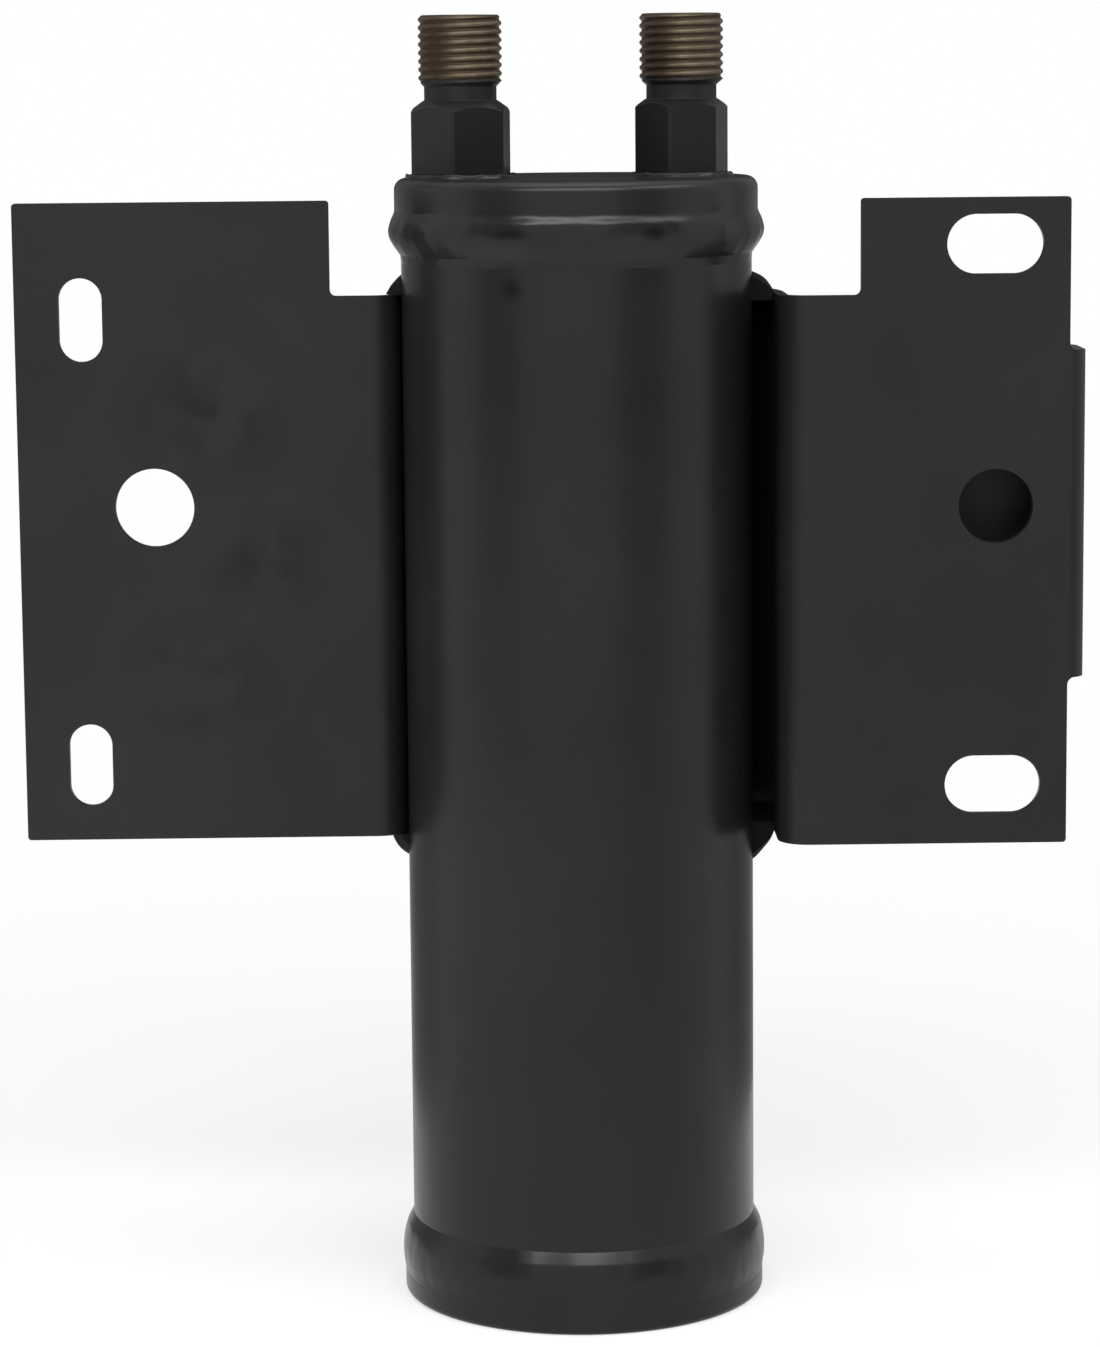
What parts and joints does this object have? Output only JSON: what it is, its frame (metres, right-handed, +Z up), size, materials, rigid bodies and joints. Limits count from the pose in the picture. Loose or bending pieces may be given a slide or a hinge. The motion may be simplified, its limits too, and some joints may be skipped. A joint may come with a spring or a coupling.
{
  "type": "receiver drier",
  "caption": "Upright black steel canister with threaded hexagon ports on its top plate and a folded saddle bracket whose slotted wings stand out to either side.",
  "frame": {"origin": "the middle of the canister's flat bottom face", "axes": "+Z up along the canister towards the ports, -Y towards the viewer, +X towards the wing with the lying slots"},
  "size_m": [0.1819, 0.0644, 0.2235],
  "materials": {
    "black_paint": "satin black paint over steel",
    "painted_weld": "satin black paint over a rippled weld",
    "port_steel": "black paint, with the thread left bare and browned",
    "plain_steel": "bare drawn steel",
    "braze": "bare braze",
    "filter_felt": "off-white felt",
    "desiccant": "pale tan beads in one bed"
  },
  "bodies": {
    "root": {"canister_shell": "black_paint", "top_plate": "black_paint", "bottom_plate": "black_paint", "mounting_bracket": "black_paint", "top_weld_bead": "painted_weld", "bottom_weld_bead": "painted_weld", "inlet_weld_ring": "painted_weld", "outlet_weld_ring": "painted_weld", "left_top_weld": "painted_weld", "left_bottom_weld": "painted_weld", "right_top_weld": "painted_weld", "right_bottom_weld": "painted_weld", "inlet_fitting": "port_steel", "outlet_fitting": "port_steel", "pickup_tube": "plain_steel", "strainer": "plain_steel", "lower_perforated_plate": "plain_steel", "upper_perforated_plate": "plain_steel", "hold_down_spring": "plain_steel", "pickup_braze_ring": "braze", "lower_filter_pad": "filter_felt", "upper_filter_pad": "filter_felt", "desiccant_bed": "desiccant"}
  },
  "joints": []
}
